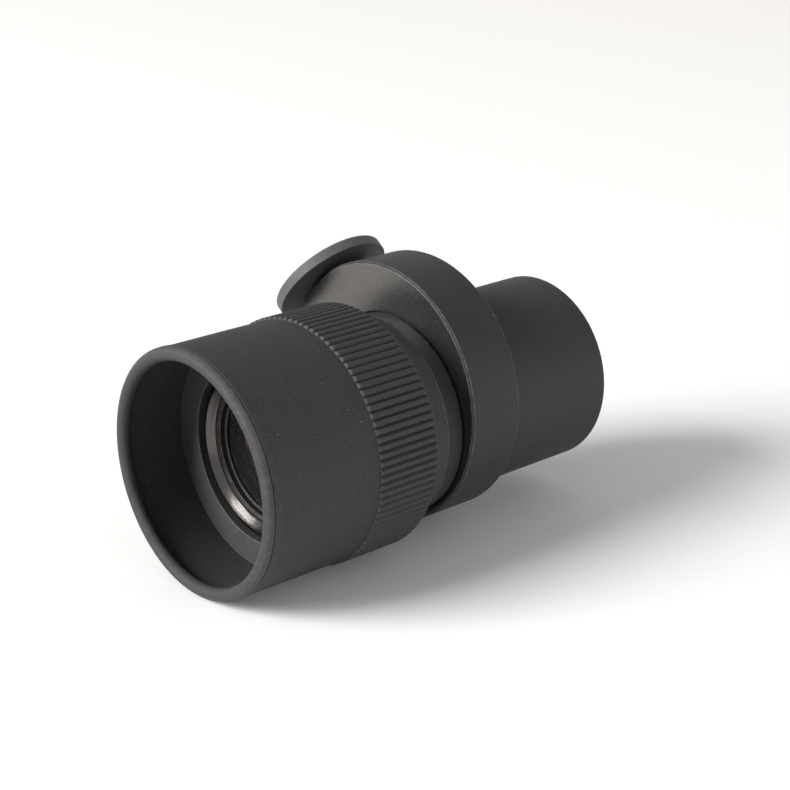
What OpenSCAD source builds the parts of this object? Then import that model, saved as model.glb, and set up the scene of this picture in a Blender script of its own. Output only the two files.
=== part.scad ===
// Illuminated reticle eyepiece with a slide-in barrel, lying on its side.
// X is the optical axis: the eye end is at -X and the barrel end at +X. Z is up.
// The origin is on the optical axis, at the shoulder where the barrel meets the drum housing.

/* [Barrel] */
// Outer diameter of the slide-in barrel
barrel_d = 31.75; // [31.6:0.05:31.8]
// Length of the barrel behind the shoulder
barrel_len = 23.9; // [20:0.1:30]
// Inner diameter of the barrel
barrel_bore_d = 27.4; // [26.8:0.1:27.6]
// Diameter of the filter thread in the barrel's mouth
filter_thread_d = 28.2; // [28:0.1:28.6]
// Depth of the filter thread
filter_thread_len = 4.5; // [3:0.1:6]

/* [Drum housing] */
// Diameter of the drum
drum_d = 43.4; // [42.8:0.1:46]
// Width of the drum along the optical axis
drum_w = 10.5; // [10.5:0.1:12]
// How far the drum's centre stands off the optical axis
drum_offset = 4; // [3.8:0.1:4.4]
// Direction of that offset, from straight up towards +Y
drum_angle = 50; // [0:1:90]
// Edge chamfer of the drum
drum_chamfer = 0.35; // [0.2:0.05:0.6]

/* [Brightness dial] */
// Diameter of the dial disc
dial_d = 20.3; // [14:0.1:21]
// Thickness of the dial disc
dial_t = 1.8; // [1.4:0.1:2.4]
// Air gap between the drum's crown and the disc
dial_gap = 0.3; // [0.25:0.05:0.5]
// Diameter of the dial's shaft
dial_shaft_d = 4; // [3:0.1:5]

/* [Focusing ring] */
// Gap between the focusing ring and the drum when it is screwed right in
focus_gap = 0.25; // [0.2:0.05:0.5]
// Width of the bare metal ring beside the drum
ring_band_w = 3.65; // [3:0.05:4]
// Diameter of the bare ring at the seam with the grip
ring_seam_d = 34.1; // [33.8:0.1:34.6]
// Diameter of the bare ring beside the drum
ring_rear_d = 33; // [32.6:0.1:34]
// Travel of the lens cell towards the eye
focus_travel = 3.75; // [2:0.05:4]

/* [Rubber grip] */
// Diameter over the ribs
grip_d = 40.1; // [39.6:0.1:41]
// Number of ribs
rib_count = 100; // [60:1:120]
// Depth of the grooves between the ribs
rib_depth = 0.5; // [0.3:0.05:0.7]
// Length of the ribbed band
rib_band_l = 11.3; // [10:0.1:11.6]

/* [Eyecup] */
// Outer diameter of the eyecup's tube beside the grip
cup_d = 39.3; // [39:0.1:39.6]
// How much the tube widens towards the rim, on the radius
cup_flare = 0; // [0:0.05:0.4]
// Wall thickness of the free part of the tube
cup_wall = 0.8; // [0.6:0.05:1]
// Length of the eyecup, from the grip to its rim
cup_len = 20.8; // [18:0.1:22]
// Radius of the rounded bead around the rim
bead_r = 1.1; // [0.9:0.05:1.2]
// How far the bead stands proud of the tube
bead_proud = 0.1; // [0:0.05:0.5]
// Thickness of the flange inside the eyecup
flange_t = 1.5; // [1:0.1:1.6]
// Diameter of the hole in that flange
flange_hole_d = 28.8; // [28.6:0.1:30]

/* [Lenses] */
// Diameter of the four lens elements
lens_d = 21.9; // [21.6:0.05:21.95]
// Radius of the outer, slightly hollow lens faces
outer_face_r = 80; // [70:1:120]
// Radius of the cemented faces
cement_face_r = 18; // [17.5:0.5:24]
// Radius of the crown faces that look at each other
crown_face_r = 26; // [25:0.5:40]

/* [Hidden] */
$fn = 128;

// Small sizes shared by several pieces
fit = 0.05;          // radial clearance of a running fit
side_gap = 0.2;      // gap between flat faces that pass each other
cut = 1;             // how far a cutting shape runs past the face that it cuts
small_chamfer = 0.3; // broken edge on turned parts

// Drum and dial
drum_r = drum_d / 2;
dial_x = -drum_w / 2;
crown_w = drum_offset + drum_r; // height of the drum's crown above the optical axis
pocket_r = 4.5;
pocket_floor_w = 15.7;
led_hole_r = 1.55;

// Sleeve, ring and cell radii
sleeve_r = 15;
sleeve_bore_r = 13.25;
cell_r = sleeve_bore_r - fit;
ring_bore_r = sleeve_r + fit;
ring_under_grip_r = 16.2;
ring_front_r = 17.5;
lip_r = cell_r + 0.3; // clears the lens cell all round
cell_bore_r = 11;
retainer_r = 11.9;
retainer_seat_r = retainer_r + fit;
cell_lip_r = 9.8;
collar_r = 14.4;
ring_mouth_r = collar_r + 0.3;
reticle_seat_r = 14;
glass_r = 10.95;
field_r = 9;
stop_screw_r = 1;
stop_head_r = 16;    // its outer end, just below the grip
stop_tip_r = 14.5;
guide_screw_r = 0.9;

// Places along the optical axis
barrel_spigot_x = -3.6;
barrel_inset_x = -0.8; // a relieved neck of the barrel runs this far into the drum's rear face
barrel_neck_r = barrel_d / 2 - 0.175;
reticle_cell_x = -8;
glass_x0 = -6;
glass_x1 = -4.5;
sleeve_front_x = -27;
ring_rear_x = -drum_w - focus_gap;
seam_x = ring_rear_x - ring_band_w;
ring_front_x = -37.6;
ring_step_x = -20;
lip_front_x = -34.5;
grip_front_x = -31.3;
grip_shoulder_x = grip_front_x + rib_band_l;
grip_bevel_x = -17.5;
grip_bevel_r = 18.1;
cup_front_x = grip_front_x - cup_len;
flange_front_x = ring_front_x - flange_t;
collar_x0 = -30.8;
collar_x1 = -28.6;
lip_rear_x = collar_x0 - side_gap;
cell_front_x = -38.6;
cell_rear_x = -16;
stop_x = -15.6;
guide_x = -23.5;
slot_half_w = 1;
slot_floor_r = 12.2;

// Lens group, front to back
lens_r = lens_d / 2;
retainer_front_x = -37.4;
eye_seat_x = -35.9;
eye_rim_x = -29.3;
field_rim_x = -23.9;
field_seat_x = -17.3;
crown_rim_t = 1; // edge thickness of a crown element
cement_sag = cement_face_r - sqrt(cement_face_r * cement_face_r - lens_r * lens_r);
crown_sag = crown_face_r - sqrt(crown_face_r * crown_face_r - lens_r * lens_r);
lip_sag = crown_face_r - sqrt(crown_face_r * crown_face_r - cell_lip_r * cell_lip_r);
spacer_set_in = crown_sag - lip_sag; // the spacer's inner edges rest on the bulging crowns

// A solid turned about the optical axis from [radius, x] corners
module turned(corners) {
    rotate([0, 90, 0])
        rotate_extrude()
            polygon(corners);
}

// A plain ring about the optical axis
module ring(x0, x1, outer_r, inner_r) {
    turned([[inner_r, x0], [outer_r, x0], [outer_r, x1], [inner_r, x1]]);
}

// A plain rod about the optical axis
module rod(x0, x1, r) {
    translate([x0, 0, 0])
        rotate([0, 90, 0])
            cylinder(h = x1 - x0, r = r);
}

// A ball centred on the optical axis
module ball(x, r) {
    translate([x, 0, 0])
        rotate([0, 90, 0])
            sphere(r = r);
}

// Places a shape on the dial's axis, which is local Z and crosses the optical axis
module on_dial_axis() {
    translate([dial_x, 0, 0])
        rotate([-drum_angle, 0, 0])
            children();
}

// A disc or ring on the dial's axis, from height w0 to w1 above the optical axis
module dial_ring(w0, w1, outer_r, inner_r = 0) {
    on_dial_axis()
        difference() {
            translate([0, 0, w0])
                cylinder(h = w1 - w0, r = outer_r);
            if (inner_r > 0)
                translate([0, 0, w0 - cut])
                    cylinder(h = w1 - w0 + 2 * cut, r = inner_r);
        }
}

// ---- Eyecup and grip ----

module eyecup() {
    bead_x = cup_front_x + bead_r;
    mouth_r = cup_d / 2 + cup_flare;
    wall_r = cup_d / 2 - cup_wall;
    color([0.21, 0.215, 0.21])
        rotate([0, 90, 0])
            rotate_extrude() {
                polygon([
                    [flange_hole_d / 2, flange_front_x], [wall_r, flange_front_x],
                    [mouth_r - cup_wall, bead_x], [mouth_r, bead_x],
                    [cup_d / 2, grip_front_x], [ring_front_r, grip_front_x],
                    [ring_front_r, ring_front_x], [flange_hole_d / 2, ring_front_x]
                ]);
                translate([mouth_r + bead_proud - bead_r, bead_x])
                    circle(r = bead_r, $fn = 64);
            }
}

// The grip's rounded rear shoulder, as [radius, x] points on an arc
function shoulder_arc() =
    let (
        drop = grip_d / 2 - grip_bevel_r,
        run = grip_bevel_x - grip_shoulder_x,
        sweep = 2 * atan(drop / run),
        arc_r = run / sin(sweep),
        steps = 6
    )
    [
        for (i = [0 : steps])
            let (a = sweep * i / steps)
                [grip_d / 2 - arc_r * (1 - cos(a)), grip_shoulder_x + arc_r * sin(a)]
    ];

// One V groove along the grip, open at the front and running out over the rear shoulder
module rib_groove() {
    groove_half_w = 0.43;
    overcut = 0.2;
    top_half_w = groove_half_w * (rib_depth + overcut) / rib_depth;
    r = grip_d / 2;
    translate([grip_front_x - overcut, 0, 0])
        rotate([0, 90, 0])
            linear_extrude(height = grip_bevel_x - grip_front_x)
                polygon([[r - rib_depth, 0], [r + overcut, top_half_w], [r + overcut, -top_half_w]]);
}

module rubber_grip() {
    tail_l = 1.4;    // last stretch before the seam
    tail_rise = 0.3; // and how much it rises
    color([0.2, 0.205, 0.2])
        difference() {
            turned(concat(
                [[ring_front_r, grip_front_x], [grip_d / 2, grip_front_x]],
                shoulder_arc(),
                [
                    [ring_seam_d / 2 + tail_rise, seam_x - tail_l], [ring_seam_d / 2, seam_x],
                    [ring_under_grip_r, seam_x], [ring_under_grip_r, ring_step_x],
                    [ring_front_r, ring_step_x]
                ]
            ));
            for (i = [0 : rib_count - 1])
                rotate([i * 360 / rib_count, 0, 0])
                    rib_groove();
        }
}

// ---- Focusing ring ----

// A hole or screw across the wall, from radius r0 to r1, in line with the dial
module stop_hole(r0, r1) {
    rotate([-drum_angle, 0, 0])
        translate([stop_x, 0, r0])
            cylinder(h = r1 - r0, r = stop_screw_r);
}

module focus_ring() {
    color([0.09, 0.09, 0.095])
        difference() {
            turned([
                [ring_bore_r, ring_rear_x], [ring_rear_d / 2 - small_chamfer, ring_rear_x],
                [ring_rear_d / 2, ring_rear_x - small_chamfer],
                [ring_seam_d / 2, seam_x], [ring_under_grip_r, seam_x],
                [ring_under_grip_r, ring_step_x], [ring_front_r, ring_step_x],
                [ring_front_r, ring_front_x], [ring_mouth_r, ring_front_x],
                [ring_mouth_r, lip_front_x], [lip_r, lip_front_x], [lip_r, lip_rear_x],
                [ring_bore_r, lip_rear_x]
            ]);
            stop_hole(ring_bore_r - cut, ring_under_grip_r + cut);
        }
}

module cell_retaining_ring() {
    color([0.62, 0.6, 0.5])
        ring(collar_x1 + side_gap, sleeve_front_x - 2 * side_gap, ring_bore_r, lip_r);
}

module stop_screw() {
    socket_h = 0.8;
    color([0.45, 0.45, 0.47])
        difference() {
            stop_hole(stop_tip_r, stop_head_r);
            rotate([-drum_angle, 0, 0])
                translate([stop_x, 0, stop_head_r - socket_h])
                    cylinder(h = socket_h + cut, r = stop_screw_r / 2, $fn = 6);
        }
}

// ---- Lens cell and lenses ----

module lens_cell() {
    face_slope_l = 1.1; // depth of the conical bare-metal face around the eye lens
    edge = 0.2;
    slot_x0 = guide_x - slot_half_w - side_gap;
    color([0.6, 0.58, 0.56])
        difference() {
            turned([
                [retainer_seat_r, cell_front_x + face_slope_l], [cell_r - edge, cell_front_x],
                [cell_r, cell_front_x + edge],
                [cell_r, collar_x0], [collar_r, collar_x0], [collar_r, collar_x1],
                [cell_r, collar_x1], [cell_r, cell_rear_x - small_chamfer],
                [cell_r - small_chamfer, cell_rear_x], [cell_lip_r, cell_rear_x],
                [cell_lip_r, field_seat_x], [cell_bore_r, field_seat_x],
                [cell_bore_r, eye_seat_x], [retainer_seat_r, eye_seat_x]
            ]);
            // keyway that keeps the cell from turning, open at the rear
            rotate([-drum_angle, 0, 0])
                translate([slot_x0, -slot_half_w, -cell_r - cut])
                    cube([cell_rear_x - slot_x0 + cut, 2 * slot_half_w, cell_r + cut - slot_floor_r]);
        }
}

module eye_lens_retainer() {
    inner_r = 10.55;
    color([0.06, 0.06, 0.06])
        turned([
            [retainer_r, retainer_front_x], [retainer_r, eye_seat_x], [inner_r, eye_seat_x],
            [inner_r, eye_seat_x - small_chamfer], [inner_r + 0.7, retainer_front_x]
        ]);
}

// Outer element of a doublet: its hollow outer face is at the seat
module flint_element() {
    difference() {
        rod(eye_seat_x, eye_rim_x - crown_rim_t, lens_r);
        ball(eye_seat_x - sqrt(outer_face_r * outer_face_r - lens_r * lens_r), outer_face_r);
        ball(eye_rim_x - crown_rim_t - cement_sag + cement_face_r, cement_face_r);
    }
}

// Inner element of a doublet: bulges on both sides
module crown_element() {
    intersection() {
        rod(eye_seat_x, field_rim_x, lens_r);
        ball(eye_rim_x - crown_rim_t - cement_sag + cement_face_r, cement_face_r);
        ball(eye_rim_x + crown_sag - crown_face_r, crown_face_r);
    }
}

// The field doublet is the eye doublet turned round
module turned_round() {
    translate([eye_rim_x + field_rim_x, 0, 0])
        mirror([1, 0, 0])
            children();
}

module eye_lens_flint() {
    color([0.16, 0.2, 0.34, 0.6])
        flint_element();
}

module eye_lens_crown() {
    color([0.3, 0.24, 0.36, 0.6])
        crown_element();
}

module field_lens_crown() {
    color([0.3, 0.3, 0.4, 0.6])
        turned_round()
            crown_element();
}

module field_lens_flint() {
    color([0.22, 0.26, 0.4, 0.6])
        turned_round()
            flint_element();
}

module lens_spacer() {
    color([0.07, 0.07, 0.07])
        ring(eye_rim_x + spacer_set_in, field_rim_x - spacer_set_in, lens_r, cell_lip_r);
}

// ---- Housing and barrel ----

module drum_housing() {
    oy = drum_offset * sin(drum_angle);
    oz = drum_offset * cos(drum_angle);
    color([0.3, 0.28, 0.275])
        difference() {
            translate([0, oy, oz])
                turned([
                    [0, -drum_w], [drum_r - drum_chamfer, -drum_w], [drum_r, -drum_w + drum_chamfer],
                    [drum_r, -small_chamfer], [drum_r - small_chamfer, 0], [0, 0]
                ]);
            rod(-drum_w - cut, reticle_cell_x, sleeve_r);
            rod(-drum_w - cut, cut, reticle_seat_r);
            rod(barrel_spigot_x, cut, sleeve_r);
            rod(barrel_inset_x, cut, barrel_d / 2 + fit);
            on_dial_axis()
                translate([0, 0, pocket_floor_w])
                    cylinder(h = crown_w, r = pocket_r);
            on_dial_axis()
                cylinder(h = pocket_floor_w + cut, r = led_hole_r);
        }
}

module helicoid_sleeve() {
    stop_groove_r = stop_tip_r - side_gap;
    groove_x0 = stop_x - focus_travel - stop_screw_r - side_gap;
    groove_x1 = stop_x + stop_screw_r + side_gap;
    color([0.5, 0.49, 0.47])
        difference() {
            turned([
                [sleeve_bore_r, sleeve_front_x], [sleeve_r - small_chamfer, sleeve_front_x],
                [sleeve_r, sleeve_front_x + small_chamfer],
                [sleeve_r, groove_x0], [stop_groove_r, groove_x0],
                [stop_groove_r, groove_x1], [sleeve_r, groove_x1],
                [sleeve_r, reticle_cell_x], [sleeve_bore_r, reticle_cell_x]
            ]);
            rotate([-drum_angle, 0, 0])
                translate([guide_x, 0, -sleeve_r - cut])
                    cylinder(h = 2 * cut + sleeve_r - sleeve_bore_r, r = guide_screw_r);
        }
}

module guide_screw() {
    sunk = 0.1;
    slot_w = 0.3;
    slot_h = 0.5;
    tip_gap = 0.3;
    color([0.45, 0.45, 0.47])
        rotate([-drum_angle, 0, 0])
            translate([guide_x, 0, -sleeve_r])
                difference() {
                    translate([0, 0, sunk])
                        cylinder(h = sleeve_r - sunk - slot_floor_r - tip_gap, r = guide_screw_r);
                    translate([-slot_w / 2, -cut, -cut])
                        cube([slot_w, 2 * cut, cut + slot_h]);
                }
}

module barrel_tube() {
    r = barrel_d / 2;
    edge = 0.2;
    bore_r = barrel_bore_d / 2;
    thread_r = filter_thread_d / 2;
    thread_x = barrel_len - filter_thread_len;
    color([0.075, 0.075, 0.08])
        turned([
            [bore_r, barrel_spigot_x], [sleeve_r, barrel_spigot_x],
            [sleeve_r, barrel_inset_x], [barrel_neck_r, barrel_inset_x], [barrel_neck_r, 0], [r, 0],
            [r, barrel_len - edge], [r - edge, barrel_len], [thread_r, barrel_len],
            [thread_r, thread_x], [bore_r, thread_x - small_chamfer]
        ]);
}

// ---- Reticle ----

module field_stop() {
    color([0.05, 0.05, 0.05])
        ring(reticle_cell_x - 0.6, reticle_cell_x, sleeve_bore_r - fit, field_r - 0.4);
}

module reticle_cell() {
    color([0.12, 0.12, 0.12])
        difference() {
            turned([
                [field_r, reticle_cell_x], [reticle_seat_r, reticle_cell_x],
                [reticle_seat_r, barrel_spigot_x], [glass_r + fit, barrel_spigot_x],
                [glass_r + fit, glass_x0], [field_r, glass_x0]
            ]);
            on_dial_axis()
                cylinder(h = reticle_seat_r + cut, r = led_hole_r);
        }
}

module reticle_glass() {
    color([0.75, 0.85, 0.85, 0.45])
        rod(glass_x0, glass_x1, glass_r);
}

module reticle_retainer() {
    color([0.1, 0.1, 0.1])
        ring(glass_x1, barrel_spigot_x, glass_r, field_r + 0.5);
}

// ---- Lamp and battery, stacked in the drum's pocket along the dial's axis ----

led_tip_w = 11.3;
led_r = 1.5;
led_flange_top_w = pocket_floor_w + 0.8;
led_board_w = 17.1;
cup_floor_w = 17.9;
battery_w = 18.4;
battery_h = 3.5;
battery_r = 3.95;
contact_w = battery_w + battery_h;
dimmer_w = 22.2;
wiper_w = 22.9;
wiper_t = 0.3;
bushing_w0 = 23.4;
bushing_w1 = 25;
dial_under_w = crown_w + dial_gap;
dial_top_w = dial_under_w + dial_t;
shaft_top_w = dial_top_w - 0.7;
dial_screw_r = 0.8;

module led() {
    lead_r = 0.25;
    lead_y = 1.27;
    color([0.75, 0.12, 0.1, 0.8]) {
        on_dial_axis()
            translate([0, 0, led_tip_w + led_r])
                sphere(r = led_r, $fn = 48);
        dial_ring(led_tip_w + led_r, pocket_floor_w, led_r);
        dial_ring(pocket_floor_w, led_flange_top_w, 1.9);
        for (side = [-1, 1])
            on_dial_axis()
                translate([0, side * lead_y, led_flange_top_w])
                    cylinder(h = led_board_w - led_flange_top_w, r = lead_r, $fn = 24);
    }
}

module led_board() {
    color([0.08, 0.3, 0.16])
        dial_ring(led_board_w, cup_floor_w, pocket_r - 0.1);
}

module battery_cup() {
    color([0.85, 0.83, 0.76])
        on_dial_axis()
            difference() {
                translate([0, 0, cup_floor_w])
                    cylinder(h = contact_w - cup_floor_w, r = pocket_r - fit);
                translate([0, 0, battery_w])
                    cylinder(h = battery_h + cut, r = battery_r + fit);
            }
}

module battery() {
    rim_h = 0.7;
    color([0.75, 0.75, 0.76]) {
        dial_ring(battery_w, contact_w - rim_h, battery_r);
        dial_ring(contact_w - rim_h, contact_w, battery_r - 0.9);
    }
}

module battery_contact() {
    color([0.78, 0.62, 0.3])
        dial_ring(contact_w, dimmer_w, 3.2, 1.2);
}

module dimmer_board() {
    color([0.35, 0.25, 0.12])
        dial_ring(dimmer_w, dimmer_w + 0.6, pocket_r - 0.1);
}

module pocket_bushing() {
    color([0.7, 0.58, 0.3])
        dial_ring(bushing_w0, bushing_w1, pocket_r, dial_shaft_d / 2 + fit);
}

// ---- Brightness dial ----

module dial_disc() {
    r = dial_d / 2;
    edge = 0.2;
    recess_r = r - 1.6;
    recess_h = 0.25;
    pointer = [2.6, 0.6, 0.55]; // length, width and depth of the pointer line
    color([0.24, 0.24, 0.235])
        on_dial_axis()
            difference() {
                rotate_extrude()
                    polygon([
                        [dial_shaft_d / 2, dial_under_w], [r - edge, dial_under_w],
                        [r, dial_under_w + edge], [r, dial_top_w - edge], [r - edge, dial_top_w],
                        [recess_r, dial_top_w], [recess_r - recess_h, dial_top_w - recess_h],
                        [dial_shaft_d / 2, dial_top_w - recess_h]
                    ]);
                // pointer line in the recessed face
                translate([recess_r - 1.2 * pointer[0], -pointer[1] / 2, dial_top_w - pointer[2]])
                    cube([pointer[0], pointer[1], cut]);
            }
}

module dial_shaft() {
    color([0.6, 0.6, 0.62])
        dial_ring(wiper_w + wiper_t, shaft_top_w, dial_shaft_d / 2, dial_screw_r);
}

module dial_screw() {
    head_r = dial_shaft_d / 2 - 0.1;
    head_h = 0.45;
    slot_w = 0.5;
    slot_h = 0.25;
    tip_w = wiper_w + 1.2;
    color([0.5, 0.5, 0.52])
        on_dial_axis()
            difference() {
                union() {
                    translate([0, 0, shaft_top_w])
                        cylinder(h = head_h, r = head_r);
                    translate([0, 0, tip_w])
                        cylinder(h = shaft_top_w - tip_w, r = dial_screw_r);
                }
                translate([-head_r - cut, -slot_w / 2, shaft_top_w + head_h - slot_h])
                    cube([2 * (head_r + cut), slot_w, cut]);
            }
}

module dial_washer() {
    color([0.88, 0.88, 0.84])
        dial_ring(bushing_w1 + 0.1, dial_under_w, 3.6, dial_shaft_d / 2);
}

module dial_wiper() {
    arm_l = 3.4;
    arm_half_w = 0.7;
    color([0.78, 0.62, 0.3])
        on_dial_axis() {
            translate([0, 0, wiper_w])
                cylinder(h = wiper_t, r = 1.6);
            translate([0, -arm_half_w, wiper_w])
                cube([arm_l, 2 * arm_half_w, wiper_t]);
        }
}

eyecup();
rubber_grip();
focus_ring();
cell_retaining_ring();
stop_screw();
lens_cell();
eye_lens_retainer();
eye_lens_flint();
eye_lens_crown();
lens_spacer();
field_lens_crown();
field_lens_flint();
drum_housing();
helicoid_sleeve();
guide_screw();
barrel_tube();
field_stop();
reticle_cell();
reticle_glass();
reticle_retainer();
led();
led_board();
battery_cup();
battery();
battery_contact();
dimmer_board();
pocket_bushing();
dial_disc();
dial_shaft();
dial_screw();
dial_washer();
dial_wiper();
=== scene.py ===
"""Looks of the lit-reticle eyepiece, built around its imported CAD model.

Turned pieces are swept about their local Z, so a shader can read the radius and height from
object coordinates. Sizes in the code are millimetres, and heights run along the piece's own axis.
place() scales a piece to metres and puts it on the optical axis or the dial's axis.
"""

import math

import bmesh
import bpy
import numpy as np
from mathutils import Matrix, Vector


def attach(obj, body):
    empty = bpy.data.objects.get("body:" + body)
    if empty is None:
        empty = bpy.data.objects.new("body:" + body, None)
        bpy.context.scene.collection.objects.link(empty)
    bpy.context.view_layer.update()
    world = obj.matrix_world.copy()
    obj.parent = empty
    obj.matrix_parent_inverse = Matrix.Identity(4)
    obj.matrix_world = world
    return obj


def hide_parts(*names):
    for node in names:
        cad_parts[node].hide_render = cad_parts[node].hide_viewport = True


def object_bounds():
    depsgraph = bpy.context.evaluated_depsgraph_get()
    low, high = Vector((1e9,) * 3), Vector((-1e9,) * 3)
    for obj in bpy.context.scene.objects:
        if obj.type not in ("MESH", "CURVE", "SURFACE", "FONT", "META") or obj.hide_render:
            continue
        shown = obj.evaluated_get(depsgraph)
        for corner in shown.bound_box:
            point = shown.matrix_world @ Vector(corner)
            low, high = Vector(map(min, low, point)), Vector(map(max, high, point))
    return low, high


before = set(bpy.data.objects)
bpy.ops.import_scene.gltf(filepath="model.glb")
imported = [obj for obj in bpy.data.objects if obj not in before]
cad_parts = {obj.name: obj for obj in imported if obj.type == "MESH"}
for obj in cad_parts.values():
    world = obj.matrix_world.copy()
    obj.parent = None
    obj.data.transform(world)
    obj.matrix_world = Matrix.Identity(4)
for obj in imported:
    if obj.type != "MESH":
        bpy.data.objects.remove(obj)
cad_lo, cad_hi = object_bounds()

MM = 0.001
TAU = 2 * math.pi
DRUM_ANGLE = math.radians(50)
DIAL_X = -5.25

# ---------------------------------------------------------------- camera and stage

CAMERA_AZIMUTH = math.radians(-43.25)
CAMERA_ELEVATION = math.radians(19.48)

cam_data = bpy.data.cameras.new("camera")
cam_data.lens = 87.94
cam_data.sensor_width = 36
cam_data.clip_start = 0.01
cam_data.clip_end = 20
camera = bpy.data.objects.new("camera", cam_data)
camera.location = (-0.2124, -0.2154, 0.1073)
camera.rotation_euler = (math.pi / 2 - CAMERA_ELEVATION, 0, CAMERA_AZIMUTH)
bpy.context.scene.collection.objects.link(camera)
bpy.context.scene.camera = camera

# ---------------------------------------------------------------- meshes


def outline(corners, steps=5, support=0.3):
    """Rows (height, radius, edge mark) from corners (height, radius, fillet). A fillet gets an arc
    with a full edge mark, which gives a paler colour for scuffing and for painted highlight, with
    an unmarked row close by on each side."""
    rows = []
    n = len(corners)
    for i, (h, r, fillet) in enumerate(corners):
        here = Vector((h, r))
        if fillet <= 0:
            rows.append((h, r, 0.0))
            continue
        before = Vector(corners[i - 1][:2]) - here
        after = Vector(corners[(i + 1) % n][:2]) - here
        len_a, len_b = before.length, after.length
        da, db = before / len_a, after / len_b
        half = math.acos(max(-1, min(1, da.dot(db)))) / 2
        reach = min(fillet / math.tan(half), 0.45 * len_a, 0.45 * len_b)
        radius = reach * math.tan(half)
        centre = here + (da + db).normalized() * (radius / math.sin(half))
        start, end = here + da * reach, here + db * reach
        near_a = min(reach + support, 0.55 * len_a)
        near_b = min(reach + support, 0.55 * len_b)
        rows.append((*(here + da * near_a), 0.0))
        v0, v1 = start - centre, end - centre
        sweep = math.atan2(v0.x * v1.y - v0.y * v1.x, v0.dot(v1))
        for k in range(steps + 1):
            a = sweep * k / steps
            c, s = math.cos(a), math.sin(a)
            p = centre + Vector((v0.x * c - v0.y * s, v0.x * s + v0.y * c))
            rows.append((p.x, p.y, 1.0))
        rows.append((*(here + db * near_b), 0.0))
    return rows


def lathe(name, rows, segments=256, warp=None, centre=(0, 0), closed=True, weighted=True):
    """A piece swept about local Z from rows (height, radius, edge mark); the edge mark, for
    scuffing and painted highlight, becomes a vertex attribute.
    """
    table = np.array(rows, float)
    angle = np.arange(segments) * TAU / segments
    h = np.repeat(table[:, :1], segments, 1)
    r = np.repeat(table[:, 1:2], segments, 1)
    wear_and_highlight = np.repeat(table[:, 2:3], segments, 1)
    a = np.repeat(angle[None, :], len(table), 0)
    if warp:
        h, r = warp(h, r, a)
    co = np.stack([centre[0] + r * np.cos(a), centre[1] + r * np.sin(a), h], -1).reshape(-1, 3)
    n_rows = len(table)
    last = n_rows if closed else n_rows - 1
    i = np.arange(last)[:, None]
    j = np.arange(segments)[None, :]
    i2, j2 = (i + 1) % n_rows, (j + 1) % segments
    quads = np.stack(
        [i * segments + j, i * segments + j2, i2 * segments + j2, i2 * segments + j], -1
    ).reshape(-1, 4)
    mesh = bpy.data.meshes.new(name)
    mesh.from_pydata(co.tolist(), [], quads.tolist())
    # Per-vertex mark for scuffed edges and painted highlights.
    layer = mesh.attributes.new("wear_and_highlight", "FLOAT", "POINT")
    layer.data.foreach_set("value", wear_and_highlight.astype(np.float32).ravel())
    obj = bpy.data.objects.new(name, mesh)
    bpy.context.scene.collection.objects.link(obj)
    finish_mesh(obj, weighted)
    return obj


def finish_mesh(obj, weighted=True, sharp_deg=32):
    """Welds, turns the faces outwards, shades smooth and marks the hard edges."""
    bm = bmesh.new()
    bm.from_mesh(obj.data)
    bmesh.ops.remove_doubles(bm, verts=bm.verts, dist=1e-5)
    bmesh.ops.recalc_face_normals(bm, faces=bm.faces)
    limit = math.radians(sharp_deg)
    for f in bm.faces:
        f.smooth = True
    for e in bm.edges:
        e.smooth = not (len(e.link_faces) == 2 and e.calc_face_angle(0) > limit)
    bm.to_mesh(obj.data)
    bm.free()
    if weighted:
        mod = obj.modifiers.new("even_normals", "WEIGHTED_NORMAL")
        mod.keep_sharp = True


def extrude_outline(name, points, z0, z1):
    """A straight-sided block from (x, y) points, used to cut slots."""
    n = len(points)
    co = [(x, y, z0) for x, y in points] + [(x, y, z1) for x, y in points]
    faces = [tuple(range(n))[::-1], tuple(range(n, 2 * n))]
    faces += [(i, (i + 1) % n, n + (i + 1) % n, n + i) for i in range(n)]
    mesh = bpy.data.meshes.new(name)
    mesh.from_pydata(co, [], faces)
    obj = bpy.data.objects.new(name, mesh)
    bpy.context.scene.collection.objects.link(obj)
    return obj


def cut_away(obj, cutters, weighted=True):
    """Subtracts the cutters from obj and removes them. All are in obj's own space, in mm."""
    obj.modifiers.clear()
    for cutter in cutters:
        cutter.modifiers.clear()
        mod = obj.modifiers.new("cut", "BOOLEAN")
        mod.operation = "DIFFERENCE"
        mod.solver = "EXACT"
        mod.object = cutter
    bpy.context.view_layer.update()
    graph = bpy.context.evaluated_depsgraph_get()
    cut = bpy.data.meshes.new_from_object(obj.evaluated_get(graph))
    obj.modifiers.clear()
    old = obj.data
    obj.data = cut
    bpy.data.meshes.remove(old)
    for cutter in cutters:
        bpy.data.objects.remove(cutter)
    finish_mesh(obj, weighted)


# Local Z runs along the optical axis, and local X points up
OPTICAL = Matrix(((0, 0, 1, 0), (0, -1, 0, 0), (1, 0, 0, 0), (0, 0, 0, 1)))
# Local Z runs up the dial's axis, and local X along the optical axis
_up = Vector((0, math.sin(DRUM_ANGLE), math.cos(DRUM_ANGLE)))
_side = _up.cross(Vector((1, 0, 0)))
DIAL = Matrix(
    (
        (1, _side.x, _up.x, DIAL_X),
        (0, _side.y, _up.y, 0),
        (0, _side.z, _up.z, 0),
        (0, 0, 0, 1),
    )
)


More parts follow.
